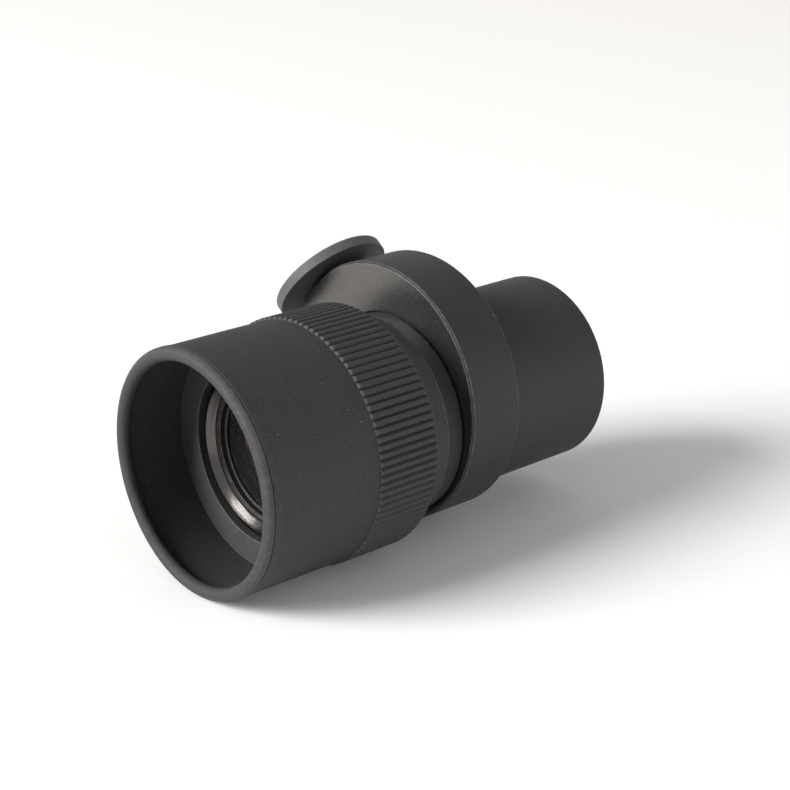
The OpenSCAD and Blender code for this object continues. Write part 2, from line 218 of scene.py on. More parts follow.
def place(obj, axis, body, nodes, material, lining=None, lined=None):
    """Scales a piece from mm to metres on its axis, attaches it to its body and hides the CAD nodes
    it replaces.
    The faces that lined(height, radius) picks get the material lining instead."""
    if lining:
        second = [lined(f.center.z, math.hypot(f.center.x, f.center.y)) for f in obj.data.polygons]
    obj.data.transform(Matrix.Scale(MM, 4))
    obj.matrix_world = Matrix.Translation(axis.translation * MM) @ axis.to_3x3().to_4x4()
    obj.data.materials.clear()
    obj.data.materials.append(material)
    if lining:
        obj.data.materials.append(lining)
        obj.data.polygons.foreach_set("material_index", [int(picked) for picked in second])
    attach(obj, body)
    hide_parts(*nodes)


# ---------------------------------------------------------------- shader helpers


class Shader:
    """A material with a Principled surface, and short calls for the nodes behind it."""

    def __init__(self, name, **sockets):
        self.mat = bpy.data.materials.new(name)
        self.mat.use_nodes = True
        self.tree = self.mat.node_tree
        self.surface = next(n for n in self.tree.nodes if n.type == "BSDF_PRINCIPLED")
        for key, value in sockets.items():
            self.surface.inputs[key.replace("_", " ")].default_value = value
        coords = self.node("ShaderNodeTexCoord")
        self.mm = self.vector("SCALE", coords.outputs["Object"], scale=1000)
        self.parts = None

    def node(self, kind, **settings):
        n = self.tree.nodes.new(kind)
        for key, value in settings.items():
            setattr(n, key, value)
        return n

    def feed(self, socket, value):
        if isinstance(value, bpy.types.NodeSocket):
            self.tree.links.new(value, socket)
        elif value is not None:
            socket.default_value = value

    def vector(self, operation, a, b=None, scale=None):
        n = self.node("ShaderNodeVectorMath", operation=operation)
        self.feed(n.inputs[0], a)
        self.feed(n.inputs[1], b)
        if scale is not None:
            self.feed(n.inputs["Scale"], scale)
        return n.outputs["Value" if operation in ("LENGTH", "DOT_PRODUCT") else "Vector"]

    def math(self, operation, a, b=None, c=None):
        n = self.node("ShaderNodeMath", operation=operation)
        for socket, value in zip(n.inputs, (a, b, c)):
            self.feed(socket, value)
        return n.outputs[0]

    def xyz(self):
        if self.parts is None:
            n = self.node("ShaderNodeSeparateXYZ")
            self.feed(n.inputs[0], self.mm)
            self.parts = n.outputs
        return self.parts

    def radius(self):
        return self.vector("LENGTH", self.vector("MULTIPLY", self.mm, (1, 1, 0)))

    def height(self):
        return self.xyz()[2]

    def noise(self, scale, detail=2.0, rough=0.5):
        n = self.node("ShaderNodeTexNoise")
        self.feed(n.inputs["Vector"], self.mm)
        for key, value in (("Scale", scale), ("Detail", detail), ("Roughness", rough)):
            n.inputs[key].default_value = value
        return n.outputs["Fac"]

    def ramp(self, value, low, high, to_low=0.0, to_high=1.0):
        n = self.node("ShaderNodeMapRange", interpolation_type="SMOOTHSTEP")
        self.feed(n.inputs["Value"], value)
        limits = {"From Min": low, "From Max": high, "To Min": to_low, "To Max": to_high}
        for key, x in limits.items():
            self.feed(n.inputs[key], x)
        return n.outputs[0]

    def mix(self, factor, a, b):
        n = self.node("ShaderNodeMix", data_type="RGBA")
        self.feed(n.inputs["Factor"], factor)
        self.feed(n.inputs[6], a if isinstance(a, bpy.types.NodeSocket) else (*a, 1))
        self.feed(n.inputs[7], b if isinstance(b, bpy.types.NodeSocket) else (*b, 1))
        return n.outputs[2]

    def specks(self, scale, size, share):
        """Sparse small spots: 1 inside a spot. share is the part of the cells that have one."""
        n = self.node("ShaderNodeTexVoronoi")
        self.feed(n.inputs["Vector"], self.mm)
        n.inputs["Scale"].default_value = scale
        cell = self.node("ShaderNodeSeparateColor")
        self.feed(cell.inputs[0], n.outputs["Color"])
        inside = self.ramp(n.outputs["Distance"], size, size * 0.4)
        return self.math("MULTIPLY", inside, self.math("GREATER_THAN", cell.outputs[0], 1 - share))

    def attribute(self, name):
        return self.node("ShaderNodeAttribute", attribute_name=name).outputs["Fac"]

    def bump(self, height, distance, strength=1.0, after=None):
        """Height runs from 0 to 1 over distance mm."""
        n = self.node("ShaderNodeBump")
        n.inputs["Strength"].default_value = strength
        n.inputs["Distance"].default_value = distance * MM
        self.feed(n.inputs["Height"], height)
        self.feed(n.inputs["Normal"], after)
        return n.outputs[0]

    def finish(self, color, roughness, normal=None):
        for key, value in (("Base Color", color), ("Roughness", roughness), ("Normal", normal)):
            self.feed(self.surface.inputs[key], value)
        return self.mat


def rubber(name, tone, dust=0.35, grain=0.045, rubbed_and_highlight=1.7):
    """Matt moulded rubber: fine mould grain, soft mottling, lint, and paler edges that are partly
    scuffing and partly painted highlight.
    """
    s = Shader(name, Specular_IOR_Level=0.22, IOR=1.5)
    mottle = s.noise(0.22, 4, 0.6)
    fine = s.noise(3.6, 4, 0.7)
    color = s.mix(mottle, [x * 0.85 for x in tone], [x * 1.15 for x in tone])
    color = s.mix(s.ramp(fine, 0.38, 0.72, 0.0, 0.45), color, [x * 2.3 for x in tone])
    # Paler colour on marked edges: partly scuffed rubber, partly a painted highlight on the bead,
    # the rib fronts and the flange edge.
    bloom_and_highlight = s.math("MULTIPLY", s.attribute("wear_and_highlight"), s.ramp(s.noise(0.9, 3), 0.3, 0.7, 0.2, 0.5))
    color = s.mix(bloom_and_highlight, color, [x * rubbed_and_highlight for x in tone])
    lint = s.specks(0.55, 0.075, dust)
    lint = s.math("MAXIMUM", lint, s.specks(1.3, 0.13, dust * 0.45))
    color = s.mix(s.math("MULTIPLY", lint, 0.6), color, (0.27, 0.27, 0.265))
    rough = s.ramp(s.math("ADD", s.math("MULTIPLY", mottle, 0.6), s.math("MULTIPLY", fine, 0.4)),
                   0.2, 0.8, 0.6, 0.78)
    normal = s.bump(s.noise(2.6, 5, 0.7), grain)
    normal = s.bump(lint, 0.04, after=normal)
    return s.finish(color, rough, normal)


def anodised(name, tone, rough=0.48, metallic=0.0, grain=0.008, grain_scale=4.0, lines=0.0,
             worn_and_highlight=(0.12, 0.117, 0.114), sparkle=0.0, dust=0.2, specular=0.4):
    """Anodised aluminium: blasted grain, faint turning lines, painted glints, and paler metal along
    edges that is partly scuffing and partly painted highlight.
    """
    s = Shader(name, IOR=1.5, Metallic=metallic, Specular_IOR_Level=specular)
    cloud = s.noise(0.12, 4, 0.55)
    fine = s.noise(grain_scale, 3, 0.7)
    color = s.mix(cloud, [x * 0.88 for x in tone], [x * 1.12 for x in tone])
    color = s.mix(s.ramp(fine, 0.35, 0.75, 0.0, 0.45), color, [x * 1.9 for x in tone])
    if sparkle:
        # Pale specks in the colour are painted glints of the blasted grain.
        glint = s.specks(2.2, 0.3, sparkle)
        color = s.mix(s.math("MULTIPLY", glint, 0.5), color, [min(1, x * 2.6) for x in tone])
    # Paler colour on fillets: partly scuffed metal, and on the drum partly a painted highlight
    # along its chamfers.
    edge = s.ramp(s.attribute("wear_and_highlight"), 0.6, 1.0)
    wear_and_highlight = s.math("MULTIPLY", edge, s.ramp(s.noise(0.8, 5, 0.7), 0.35, 0.65, 0.15, 0.7))
    color = s.mix(wear_and_highlight, color, worn_and_highlight)
    lint = s.specks(0.4, 0.055, dust)
    color = s.mix(s.math("MULTIPLY", lint, 0.6), color, (0.3, 0.3, 0.3))
    roughness = s.ramp(fine, 0.25, 0.75, rough - 0.07, rough + 0.09)
    normal = s.bump(fine, grain)
    if lines:
        wobble = s.math("MULTIPLY", s.noise(0.35, 2), 1.5)
        turn = s.math("SINE", s.math("ADD", s.math("MULTIPLY", s.height(), TAU / 0.16), wobble))
        turn = s.math("MULTIPLY_ADD", turn, 0.5, 0.5)
        normal = s.bump(turn, lines, after=normal)
    return s.finish(color, roughness, normal)


def turned_metal(name, tone, pitch=0.17, depth=0.006, rough=0.28, by_radius=True, metallic=1.0,
                 stained=0.72):
    """Bare turned metal: fine concentric tool marks and slight staining."""
    s = Shader(name, Metallic=metallic, Anisotropic=0.4)
    along = s.radius() if by_radius else s.height()
    wander = s.math("MULTIPLY", s.noise(0.5, 3, 0.6), 2.4)
    phase = s.math("ADD", s.math("MULTIPLY", along, TAU / pitch), wander)
    tool = s.math("MULTIPLY_ADD", s.math("SINE", phase), 0.5, 0.5)
    coarse = s.math("SINE", s.math("MULTIPLY", along, TAU / (pitch * 3.3)))
    marks = s.math("MULTIPLY_ADD", coarse, 0.3, tool)
    stain = s.noise(0.5, 5, 0.65)
    color = s.mix(s.ramp(stain, 0.3, 0.7), [x * stained for x in tone], tone)
    color = s.mix(s.ramp(tool, 0.55, 0.0, 0.0, 0.35), color, [x * 0.4 for x in tone])
    roughness = s.ramp(stain, 0.2, 0.8, rough - 0.03, rough + 0.06)
    tangent = s.node("ShaderNodeTangent", direction_type="RADIAL", axis="Z")
    s.feed(s.surface.inputs["Tangent"], tangent.outputs[0])
    return s.finish(color, roughness, s.bump(marks, depth))


def optical_black(name, tone=(0.012, 0.012, 0.012), rough=0.5):
    """Blackened metal inside the light path, with scuffed edges."""
    s = Shader(name, IOR=1.45)
    fine = s.noise(4, 4, 0.65)
    color = s.mix(fine, [x * 0.7 for x in tone], [x * 1.6 for x in tone])
    wear_and_highlight = s.math("MULTIPLY", s.attribute("wear_and_highlight"), s.ramp(s.noise(1.1, 4, 0.7), 0.4, 0.6, 0.1, 0.8))
    color = s.mix(wear_and_highlight, color, (0.1, 0.08, 0.075))
    roughness = s.ramp(fine, 0.2, 0.8, rough - 0.1, rough + 0.12)
    return s.finish(color, roughness, s.bump(fine, 0.006))


def coated_glass(name, ior, tint, film=0.0, glow=None, dust=0.12, haze=0.0):
    """Polished glass with a thin anti-reflection film, a few specks of dust and a faint haze."""
    s = Shader(name, IOR=ior, Transmission_Weight=1.0 - haze, Roughness=0.0)
    if film:
        s.surface.inputs["Thin Film Thickness"].default_value = film
        s.surface.inputs["Thin Film IOR"].default_value = 1.38
    if glow:
        s.surface.inputs["Specular Tint"].default_value = (*glow, 1)
    lint = s.specks(0.9, 0.05, dust)
    color = s.mix(lint, tint, (0.5, 0.5, 0.5))
    smear = s.ramp(s.noise(0.3, 3, 0.6), 0.35, 0.75, 0.0, 0.03)
    return s.finish(color, s.math("MAXIMUM", smear, s.math("MULTIPLY", lint, 0.6)))


def simple_metal(name, tone, rough=0.32, metallic=1.0):
    """Small turned or pressed metal parts."""
    s = Shader(name, Metallic=metallic)
    stain = s.noise(0.9, 5, 0.6)
    fine = s.noise(7, 3, 0.6)
    color = s.mix(s.ramp(stain, 0.3, 0.7), [x * 0.72 for x in tone], tone)
    return s.finish(color, s.ramp(fine, 0.2, 0.8, rough - 0.08, rough + 0.14), s.bump(fine, 0.004))


def plastic(name, tone, rough=0.4, grain=0.004, **sockets):
    """Moulded plastic or board."""
    s = Shader(name, IOR=1.5, **sockets)
    cloud = s.noise(0.6, 4, 0.6)
    fine = s.noise(6, 3, 0.6)
    color = s.mix(cloud, [x * 0.85 for x in tone], [min(1, x * 1.1) for x in tone])
    return s.finish(color, s.ramp(fine, 0.2, 0.8, rough - 0.08, rough + 0.1), s.bump(fine, grain))


def reticle_glass(name):
    """Plane glass with an etched cross of fine double lines around the centre."""
    s = Shader(name, IOR=1.52, Transmission_Weight=1.0, Roughness=0.0)
    x, y, _ = s.xyz()
    line, half_gap = 0.035, 0.35
    cross = None
    for across in (x, y):
        off = s.math("SUBTRACT", s.math("ABSOLUTE", across), half_gap)
        ink = s.math("LESS_THAN", s.math("ABSOLUTE", off), line)
        cross = ink if cross is None else s.math("MAXIMUM", cross, ink)
    inside = s.math("LESS_THAN", s.radius(), 8.4)
    cross = s.math("MULTIPLY", cross, inside)
    lint = s.specks(0.8, 0.05, 0.1)
    frost = s.math("MAXIMUM", cross, lint)
    color = s.mix(frost, (0.96, 0.98, 0.97), (0.55, 0.55, 0.55))
    return s.finish(color, s.math("MULTIPLY", frost, 0.7))


MAT = {
    # The paler edges of the cup and the grip stand partly for scuffing and partly for painted
    # highlights on the bead and the rib fronts.
    "cup": rubber("eyecup_rubber", (0.0282, 0.0289, 0.0282), rubbed_and_highlight=3.0),
    # The flange face has a lighter copy of the cup rubber, which paints light on it, and a strong
    # pale edge colour that paints a highlight line at its rim.
    "flange": rubber("eyecup_flange_rubber_painted_light", (0.039, 0.04, 0.0395), dust=0.2, rubbed_and_highlight=6.0),
    "grip": rubber("grip_rubber", (0.0335, 0.0342, 0.0335), dust=0.25, rubbed_and_highlight=2.8),
    "ring": anodised("ring_anodised", (0.0215, 0.0215, 0.0215), rough=0.46, lines=0.003,
                     specular=0.22),
    "barrel": anodised("barrel_anodised", (0.029, 0.0286, 0.0286), rough=0.55, lines=0.002,
                       specular=0.22),
    # The drum's pale edge colour is raised to paint a highlight along its chamfers.
    "drum": anodised("drum_anodised", (0.0245, 0.0243, 0.0243), rough=0.5, grain=0.006,
                     specular=0.25, worn_and_highlight=(0.2, 0.19, 0.18)),
    "drum_face": anodised("drum_face_blasted", (0.111, 0.106, 0.102), rough=0.31, metallic=0.92,
                          grain=0.004, grain_scale=7.0, worn_and_highlight=(0.2, 0.19, 0.18), sparkle=0.06),
    "dial": anodised("dial_anodised", (0.069, 0.069, 0.066), rough=0.58, specular=0.3,
                     worn_and_highlight=(0.12, 0.12, 0.115)),
    "face": turned_metal("turned_face", (0.118, 0.108, 0.105), rough=0.2, metallic=0.9,
                         stained=0.9),
    "cell": turned_metal("turned_cell", (0.6, 0.58, 0.55), by_radius=False),
    "black": optical_black("optical_black"),
    "retainer": optical_black("retainer_black", (0.0055, 0.0052, 0.0045), rough=0.45),
    "flint": coated_glass("flint_glass", 1.62, (0.78, 0.8, 0.88), film=118, haze=0.012),
    "crown": coated_glass("crown_glass", 1.52, (0.85, 0.84, 0.85), glow=(1.0, 0.28, 0.4)),
    "field": coated_glass("field_glass", 1.52, (0.85, 0.86, 0.88), glow=(0.2, 0.25, 0.4)),
    "cement": coated_glass("lens_cement", 1.01, (0.98, 0.98, 0.97)),
    "reticle": reticle_glass("reticle_glass"),
    "steel": simple_metal("screw_steel", (0.5, 0.5, 0.51), 0.28),
    "brass": simple_metal("brass", (0.62, 0.45, 0.2), 0.34),
    "board": plastic("circuit_board", (0.03, 0.16, 0.07), 0.35),
    "nylon": plastic("nylon", (0.62, 0.6, 0.53), 0.45),
    "led": plastic("led_resin", (0.5, 0.03, 0.02), 0.12, 0.001, Transmission_Weight=0.6),
}

# ---------------------------------------------------------------- eyecup and grip

CUP_R, CUP_WALL = 19.65, 0.8
CUP_FRONT, FLANGE_X, GRIP_FRONT = -52.1, -39.1, -31.3
FLANGE_EDGE_R = 18.8
BEAD_R = 1.1
BEAD_X = CUP_FRONT + BEAD_R
BEAD_CENTRE = CUP_R + 0.07 - BEAD_R
# The free end of the tube leans: the side at LEAN_SIDE stands further forward
LEAN, LEAN_SIDE = 0.041, math.radians(63.5)


def eyecup_rows():
    rows = []
    # round the bead's front, from the groove on its outside to the cove inside it; its outer front
    # is marked for a paler colour that is partly a painted highlight
    for k in range(25):
        a = math.radians(84 - 232 * k / 24)
        wear_and_highlight = 1.0 if 20 < math.degrees(a) < 86 else 0.35
        rows.append((BEAD_X - BEAD_R * math.cos(a), BEAD_CENTRE + BEAD_R * math.sin(a), wear_and_highlight))
    wall_in = CUP_R - CUP_WALL
    body = outline(
        [
            (BEAD_X + 1.15, wall_in - 0.05, 0.3),
            (-39.3, wall_in, 0.0),
            (-38.9, wall_in - 0.02, 0.03),
            (-38.9, wall_in - 0.08, 0.03),
            (-39.12, wall_in - 0.12, 0.05),
            (FLANGE_X, 14.45, 0.1),
            (-37.6, 14.4, 0.1),
            (-37.6, 17.5, 0.0),
            (GRIP_FRONT, 17.5, 0.0),
            (GRIP_FRONT, CUP_R, 0.1),
            (-40.0, CUP_R + 0.02, 0.0),
            (BEAD_X + 1.05, CUP_R - 0.02, 0.12),
            (BEAD_X + 0.84, CUP_R + 0.09, 0.2),
            (BEAD_X + 0.22, CUP_R + 0.1, 0.16),
            (BEAD_X + 0.06, CUP_R - 0.04, 0.08),
        ],
        steps=4,
        support=0.12,
    )
    # outline() joins its last corner to its first, so its first support rows are left out
    for h, r, wear_and_highlight in body[1:-1]:
        # Full marking only at the flange's outer edge, where the paler colour paints a highlight
        # line; elsewhere it is halved.
        at_flange_edge = h < FLANGE_X + 0.2 and FLANGE_EDGE_R - 0.2 < r < FLANGE_EDGE_R
        rows.append((h, r, wear_and_highlight if at_flange_edge else 0.5 * wear_and_highlight))
    return rows


def cup_softness(h, r, a):
    """The free end leans a little and its mouth is never quite round."""
    t = np.clip((GRIP_FRONT - 4 - h) / (GRIP_FRONT - 4 - CUP_FRONT), 0, 1)
    h = h - t**1.3 * LEAN * r * np.cos(a - LEAN_SIDE)
    r = r + t**1.6 * (0.03 * np.cos(2 * a + 0.7) + 0.02 * np.cos(3 * a + 2.1))
    return h, r


cup = lathe("eyecup_moulding", eyecup_rows(), 288, cup_softness)
# The flange face gets the lighter copy of the rubber, which stands in for light on it.
place(cup, OPTICAL, "focuser", ["eyecup"], MAT["cup"],
      MAT["flange"], lambda h, r: FLANGE_X - 0.05 < h < FLANGE_X + 0.2 and r < FLANGE_EDGE_R - 0.02)

GRIP_R, RIBS, RIB_DEPTH = 20.05, 100, 0.5
TIP_X, TIP_R = -19.35, 0.55
BEVEL_X, BEVEL_R = -17.5, 18.1
SEAM_X, SEAM_R = -14.4, 17.05


def grip_rows():
    # The front chamfer rows are marked for a paler colour that paints highlights on the rib fronts.
    rows = [(GRIP_FRONT, 17.5, 0), (GRIP_FRONT, 19.0, 0), (GRIP_FRONT, GRIP_R - 0.3, 1)]
    rows += [(GRIP_FRONT + 0.04, GRIP_R - 0.22, 1), (GRIP_FRONT + 0.2, GRIP_R - 0.04, 1)]
    rows += [(GRIP_FRONT + 0.3, GRIP_R, 0.6)]
    rows += [(GRIP_FRONT + 0.5 + 0.87 * k, GRIP_R, 0.0) for k in range(12)]
    rows.append((TIP_X - TIP_R - 0.25, GRIP_R, 0.0))
    # round ends of the ribs, whose middle rows are marked for a painted highlight on the tips
    for k in range(9):
        a = math.radians(80) * k / 8
        h = TIP_X - TIP_R * (1 - math.sin(a))
        rows.append((h, GRIP_R - TIP_R * (1 - math.cos(a)), 0.5 if 1 < k < 7 else 0.0))
    # round shoulder, from the foot of the tips to the bevel
    foot_r = GRIP_R - RIB_DEPTH
    drop, run = foot_r - BEVEL_R, BEVEL_X - TIP_X - 0.06
    for k in range(15):
        t = k / 14
        rows.append((TIP_X + 0.06 + run * t, foot_r - drop * (0.55 * t + 0.45 * t * t), 0.0))
    # hollow run-out to the seam
    for k in range(1, 11):
        t = k / 10
        h = BEVEL_X + (SEAM_X - 0.12 - BEVEL_X) * t
        r = BEVEL_R + (SEAM_R - BEVEL_R) * (1 - (1 - t) ** 1.7)
        rows.append((h, r, 0.0))
    rows += [(SEAM_X - 0.05, SEAM_R - 0.03, 0.0), (SEAM_X, SEAM_R - 0.16, 0.0)]
    rows += [(SEAM_X, 16.2, 0), (-20.0, 16.2, 0), (-20.0, 17.5, 0)]
    return rows


def cut_ribs(h, r, a):
    """Grooves of one depth, from the front edge to the round tips of the ribs."""
    pitch = TAU / RIBS
    off = np.abs((a / pitch + 0.5) % 1.0 - 0.5) * 2
    depth = RIB_DEPTH * (1 - np.sin(np.clip(off / 0.68, 0, 1) * math.pi / 2) ** 1.25)
    crest = GRIP_R - depth
    cut = (h < TIP_X + 0.03) & (r > 18.9)
    return h, np.where(cut, np.minimum(r, crest), r)


grip = lathe("grip_sleeve", grip_rows(), RIBS * 14, cut_ribs, weighted=False)
place(grip, OPTICAL, "focuser", ["rubber_grip"], MAT["grip"])

# ---------------------------------------------------------------- focusing ring

ring = lathe(
    "focus_ring_turned",
    outline(
        [
            (-10.78, 15.05, 0.1),
            (-10.78, 16.5, 0.26),
            (SEAM_X + 0.05, 16.98, 0.1),
            (SEAM_X + 0.05, 16.2, 0.0),
            (-20.0, 16.2, 0.0),
            (-20.0, 17.5, 0.0),
            (-37.6, 17.5, 0.0),
            (-37.6, 14.7, 0.1),
            (-34.5, 14.7, 0.0),
            (-34.5, 13.5, 0.05),
            (-31.0, 13.5, 0.05),
            (-31.0, 15.05, 0.0),
        ],
        steps=4,
    ),
)
place(ring, OPTICAL, "focuser", ["focus_ring"], MAT["ring"])

# ---------------------------------------------------------------- lens cell and lenses

CELL_R = 13.2
face_rows = []
for k in range(25):
    t = k / 24
    ridge = 0.012 * math.sin(TAU * 7 * t)
    face_rows.append((-37.5 - 1.05 * t - ridge, 11.95 + 1.0 * t, 0.0))
cell = lathe(
    "lens_cell_turned",
    face_rows
    + outline(
        [
            (-38.6, 13.02, 0.05),
            (-38.4, CELL_R, 0.05),
            (-30.8, CELL_R, 0.0),
            (-30.8, 14.4, 0.1),
            (-28.6, 14.4, 0.1),
            (-28.6, CELL_R, 0.0),
            (-16.0, CELL_R, 0.25),
            (-16.0, 9.8, 0.15),
            (-17.3, 9.8, 0.0),
            (-17.3, 11.0, 0.0),
            (-35.9, 11.0, 0.0),
            (-35.9, 11.95, 0.0),
        ],
        steps=3,
    )[1:],
)
keyway = extrude_outline("keyway", [(-20, -1), (-12.2, -1), (-12.2, 1), (-20, 1)], -24.7, -15)
keyway.data.transform(Matrix.Rotation(DRUM_ANGLE, 4, "Z"))
cut_away(cell, [keyway])
place(cell, OPTICAL, "optics", ["lens_cell"], MAT["face"],
      MAT["black"], lambda h, r: r < 11.6 or (h > -36 and r < 12.5))

retainer = lathe(
    "eye_retainer_turned",
    outline(
        [
            (-37.4, 11.9, 0.08),
            (-35.9, 11.9, 0.0),
            (-35.9, 10.55, 0.0),
            (-36.3, 10.6, 0.06),
            (-36.35, 10.95, 0.04),
            (-37.15, 11.15, 0.05),
            (-37.2, 11.4, 0.04),
            (-37.4, 11.45, 0.06),
        ],
        steps=4,
        support=0.05,
    ),
)
place(retainer, OPTICAL, "optics", ["eye_lens_retainer"], MAT["retainer"])

LENS_R = 10.95
EYE_SEAT, EYE_RIM, FIELD_RIM = -35.9, -29.3, -23.9
OUTER_R, CEMENT_R, CROWN_R = 80.0, 18.0, 26.0
CEMENT_GAP = 0.012


def sphere_face(rim_h, radius, bulge, edge=LENS_R, steps=20):
    """Rows of a spherical face from the axis to its rim. bulge +1 stands towards +Z."""
    rim_drop = radius - math.sqrt(radius**2 - edge**2)
    rows = []
    for k in range(steps + 1):
        r = edge * k / steps
        drop = radius - math.sqrt(radius**2 - r**2)
        rows.append((rim_h + bulge * (rim_drop - drop), r, 0.0))
    return rows


def flint_rows():
    return sphere_face(EYE_SEAT, OUTER_R, 1) + sphere_face(EYE_RIM - 1, CEMENT_R, -1)[::-1]


def crown_rows():
    front = sphere_face(EYE_RIM - 1 + CEMENT_GAP, CEMENT_R, -1)
    return front + sphere_face(EYE_RIM, CROWN_R, 1)[::-1]


def turned_round(rows):
    return [(EYE_RIM + FIELD_RIM - h, r, w) for h, r, w in rows]


def eye_cement(h, r):
    """True on the face where the eye doublet is cemented."""
    at_edge = EYE_RIM - 1 - (CEMENT_R - math.sqrt(CEMENT_R**2 - LENS_R**2))
    face = at_edge + (CEMENT_R - math.sqrt(CEMENT_R**2 - min(r, LENS_R) ** 2))
    return abs(h - face) < 0.05 and r < LENS_R - 0.1


def field_cement(h, r):
    return eye_cement(EYE_RIM + FIELD_RIM - h, r)


for name, node, rows, slot, glass, cemented in (
    ("eye_flint_glass", "eye_lens_flint", flint_rows(), "coated_glass", "flint", eye_cement),
    ("eye_crown_glass", "eye_lens_crown", crown_rows(), "clear_glass", "crown", eye_cement),
    ("field_crown_glass", "field_lens_crown", turned_round(crown_rows()), "clear_glass",
     "field", field_cement),
    ("field_flint_glass", "field_lens_flint", turned_round(flint_rows()), "clear_glass",
     "field", field_cement),
):
    lens = lathe(name, rows, 192, closed=False, weighted=False)
    place(lens, OPTICAL, "optics", [node], MAT[glass], MAT["cement"], cemented)

# ---------------------------------------------------------------- drum housing

DRUM_R, DRUM_W, DRUM_EDGE, DRUM_OFFSET = 21.7, 10.5, 0.35, 4
# The recess in the drum's face around the focusing ring
RECESS_R, RECESS_X = 16.8, -9.9
# Local X is up, and local Y is -Y of the whole model
drum_centre = (DRUM_OFFSET * math.cos(DRUM_ANGLE), -DRUM_OFFSET * math.sin(DRUM_ANGLE))
drum = lathe(
    "drum_housing_turned",
    outline(
        [
            (-DRUM_W, 0, 0),
            (-DRUM_W, 14.0, 0),
            (-DRUM_W, DRUM_R - DRUM_EDGE, 0.12),
            (-DRUM_W + DRUM_EDGE, DRUM_R, 0.12),
            (-0.3, DRUM_R, 0.1),
            (0, DRUM_R - 0.3, 0.1),
            (0, 0, 0),
        ],
        steps=3,
        support=0.06,
    ),
    288,
    centre=drum_centre,
    closed=False,
)
bore = lathe(
    "bore",
    [
        (-11.5, 0, 0), (-11.5, RECESS_R, 0), (RECESS_X, RECESS_R, 0), (RECESS_X, 15.0, 0),
        (-8, 15.0, 0),
        (-8, 14.0, 0), (-3.6, 14.0, 0), (-3.6, 15.0, 0), (-0.8, 15.0, 0), (-0.8, 15.925, 0),
        (-0.12, 15.925, 0), (0.05, 16.1, 0), (1, 16.2, 0), (1, 0, 0),
    ],
    288,
    closed=False,
)


def drill(name, start, end, radius, segments):
    """A plain cylinder between two heights, used to cut a hole."""
    rows = [(start, 0, 0), (start, radius, 0), (end, radius, 0), (end, 0, 0)]
    return lathe(name, rows, segments, closed=False)


pocket = drill("pocket", 15.7, 27, 4.5, 96)
lamp_hole = drill("lamp_hole", 5, 16, 1.55, 64)
for cutter in (pocket, lamp_hole):
    cutter.data.transform(OPTICAL.inverted() @ DIAL)
cut_away(drum, [bore, pocket, lamp_hole])
place(drum, OPTICAL, "housing", ["drum_housing"], MAT["drum"],
      MAT["drum_face"], lambda h, r: h < -DRUM_W + 0.01 or h > -0.01)

# ---------------------------------------------------------------- barrel and sleeve

BARREL_R, NECK_R, BARREL_END = 15.875, 15.7, 23.9
THREAD_X, THREAD_PITCH = 19.4, 0.6


def filter_thread(h, r, a):
    """A right-handed V thread cut outwards from the mouth's bore, fading at both ends."""
    inside = (r < 14.3) & (h > THREAD_X + 0.05) & (h < BARREL_END - 0.02)
    phase = (h / THREAD_PITCH - a / TAU) % 1.0
    fade = np.clip((h - THREAD_X) / 0.5, 0, 1) * np.clip((BARREL_END - h) / 0.4, 0, 1)
    return h, np.where(inside, r - 0.22 + 0.3 * fade * np.abs(phase * 2 - 1), r)


def barrel_rows():
    rows = outline(
        [
            (THREAD_X - 0.3, 13.7, 0.05),
            (-3.6, 13.7, 0.0),
            (-3.6, 15.0, 0.0),
            (-0.8, 15.0, 0.0),
            (-0.8, NECK_R, 0.0),
            (0, NECK_R, 0.0),
            (0, BARREL_R, 0.0),
            (BARREL_END - 0.2, BARREL_R, 0.08),
            (BARREL_END, BARREL_R - 0.2, 0.08),
            (BARREL_END, 14.35, 0.12),
        ],
        steps=4,
    )
    start = BARREL_END - 0.1
    count = 76
    for k in range(count + 1):
        rows.append((start - (start - THREAD_X) * k / count, 14.1, 0.0))
    return rows


barrel = lathe("barrel_turned", barrel_rows(), 256, filter_thread)
place(barrel, OPTICAL, "housing", ["barrel_tube"], MAT["barrel"])

SLEEVE_R, HELIX_LEAD, HELIX_STARTS = 15.0, 5.0, 8


def sleeve_rows():
    rows = [(-27.0, 13.25, 0), (-27.0, 14.7, 0), (-26.7, 15.0, 0)]
    rows += [(-26.7 + 6.1 * k / 98, 15.0, 0) for k in range(1, 99)]
    rows += [(-20.55, 15.0, 0), (-20.55, 14.3, 0), (-14.4, 14.3, 0), (-14.4, 15.0, 0)]
    rows += [(-14.35 + 3.8 * k / 62, 15.0, 0) for k in range(63)]
    rows += [(-8.0, 15.0, 0), (-8.0, 13.25, 0)]
    return rows


def helicoid(h, r, a):
    """Eight-start focusing thread with flat crests, cut into the plain cylinder."""
    threaded = (r > 14.95) & (h > -26.65) & (h < -10.6)
    phase = ((h + a / TAU * HELIX_LEAD) * HELIX_STARTS / HELIX_LEAD) % 1.0
    groove = np.clip(1.25 - np.abs(phase * 2 - 1) * 2.2, 0, 1)
    return h, np.where(threaded, r - 0.22 * groove, r)


sleeve = lathe("helicoid_sleeve_threaded", sleeve_rows(), 256, helicoid)
place(sleeve, OPTICAL, "housing", ["helicoid_sleeve"], MAT["cell"],
      MAT["black"], lambda h, r: r < 13.6)

stop = lathe(
    "field_stop_disc",
    outline(
        [
            (-8.6, 13.2, 0), (-8.6, 9.1, 0.05), (-8.35, 8.6, 0.03), (-8.0, 8.85, 0.05),
            (-8, 13.2, 0),
        ],
        steps=3,
        support=0.1,
    ),
)
place(stop, OPTICAL, "housing", ["field_stop"], MAT["black"])

